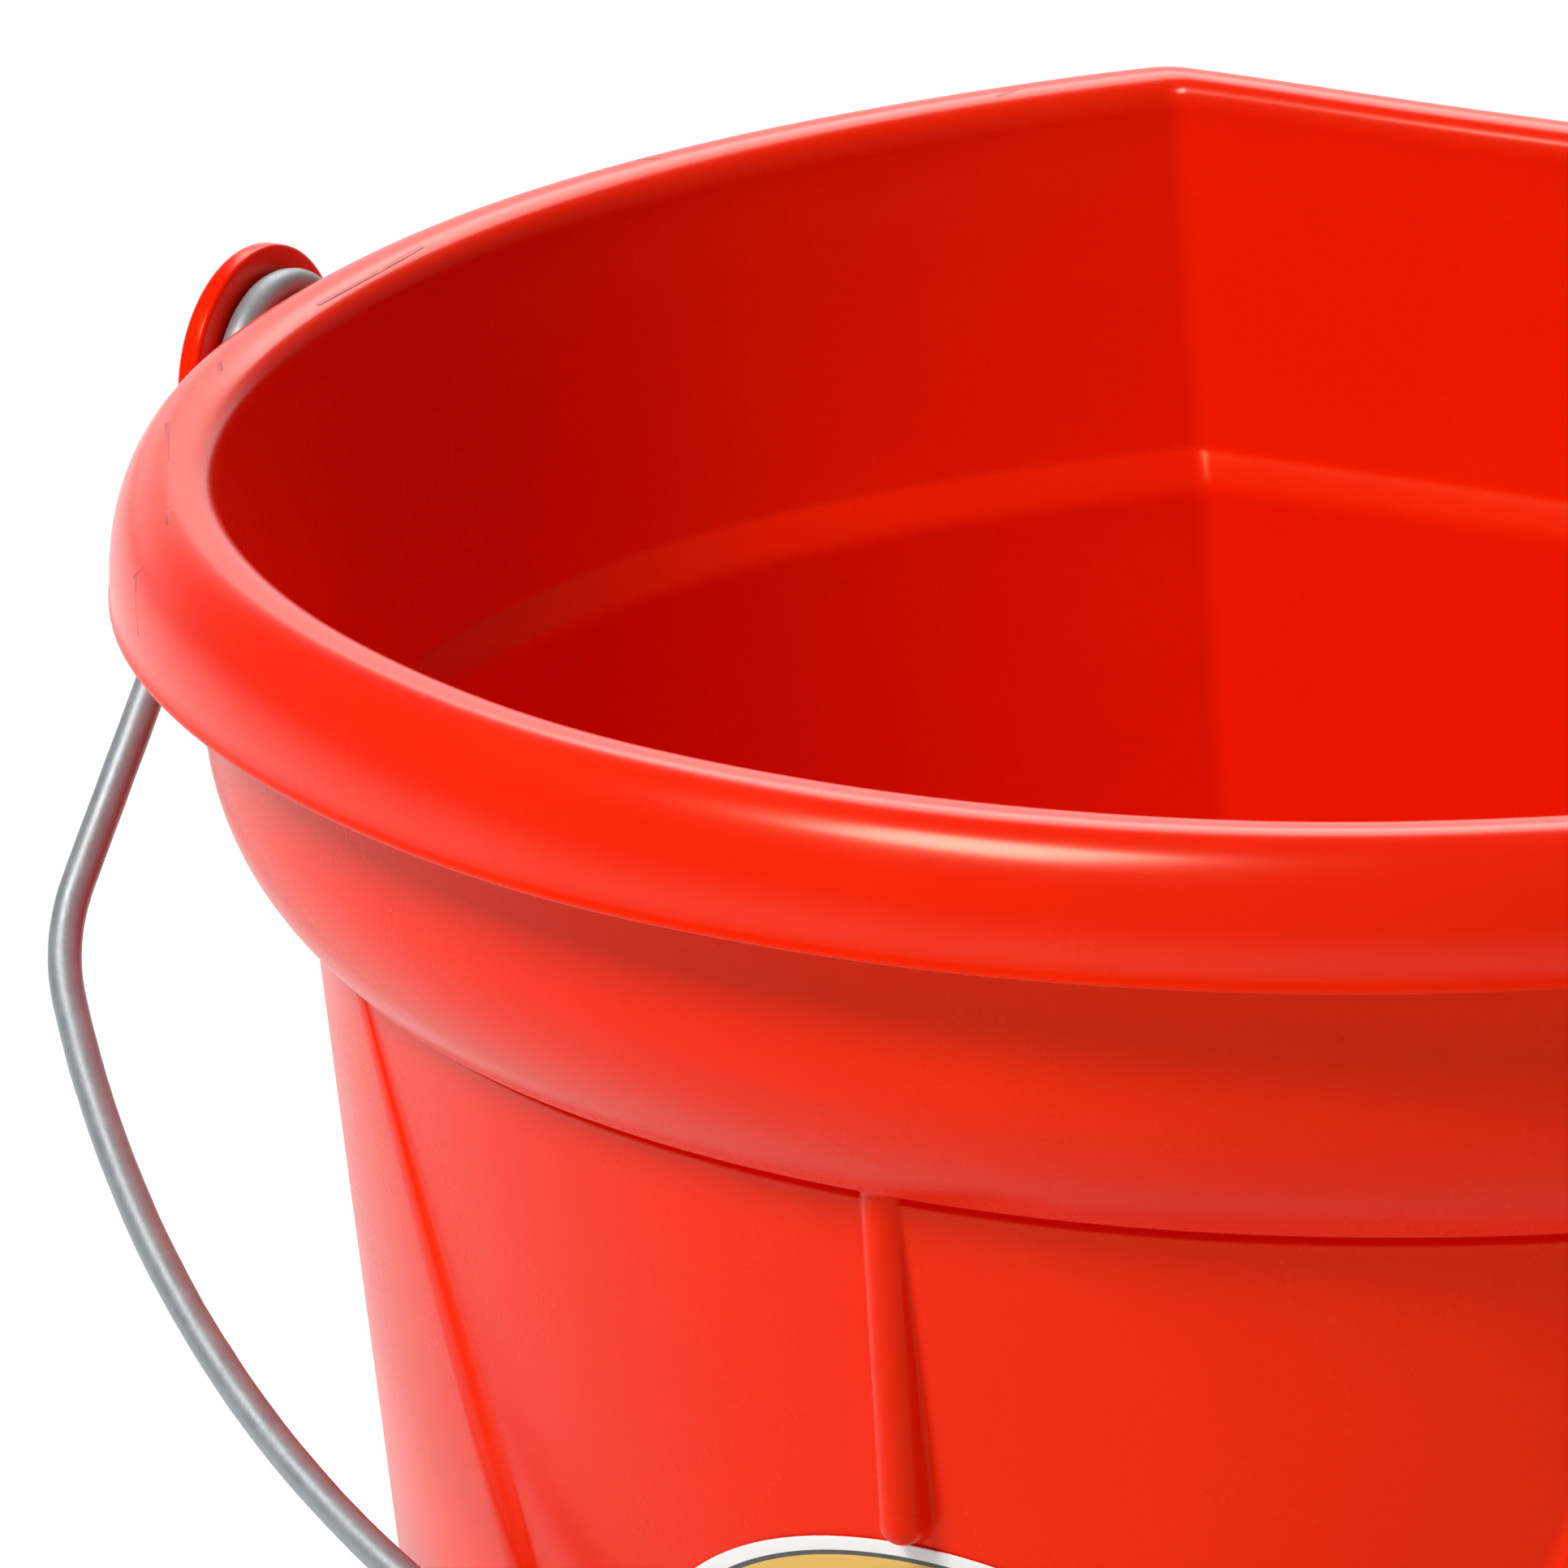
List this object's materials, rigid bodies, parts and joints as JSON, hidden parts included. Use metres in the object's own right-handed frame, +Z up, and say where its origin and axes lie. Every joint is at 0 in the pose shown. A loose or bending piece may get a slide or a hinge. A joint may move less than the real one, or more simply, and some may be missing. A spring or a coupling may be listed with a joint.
{
  "type": "flat-back utility bucket",
  "caption": "Flat-backed moulded plastic bucket with a rolled rim, stepped upper band, front stacking rib and a swinging wire bail on mushroom-headed ear studs.",
  "frame": {"origin": "on the floor, under the middle of the rim's bounding box", "axes": "+X across the bucket through its ears, +Y towards the flat back, +Z up from the floor"},
  "size_m": [0.3538, 0.277, 0.2816],
  "materials": {
    "red_plastic": "satin-gloss moulded polyethylene, orange-red",
    "stud_plastic": "satin-gloss moulded polyethylene, orange-red",
    "galvanised_wire": "galvanised wire, dull satin",
    "printed_label": null
  },
  "bodies": {
    "bucket": {"bucket_shell": "red_plastic", "left_ear_stud": "stud_plastic", "right_ear_stud": "stud_plastic", "front_label": "printed_label"},
    "bail": {"bail": "galvanised_wire"}
  },
  "joints": [
    {"name": "bail_swing", "type": "hinge", "parent": "bucket", "child": "bail", "pos_m": [0, 0.0145, 0.2632], "axis": [-1, 0, 0], "range_deg": [0, 262]}
  ]
}
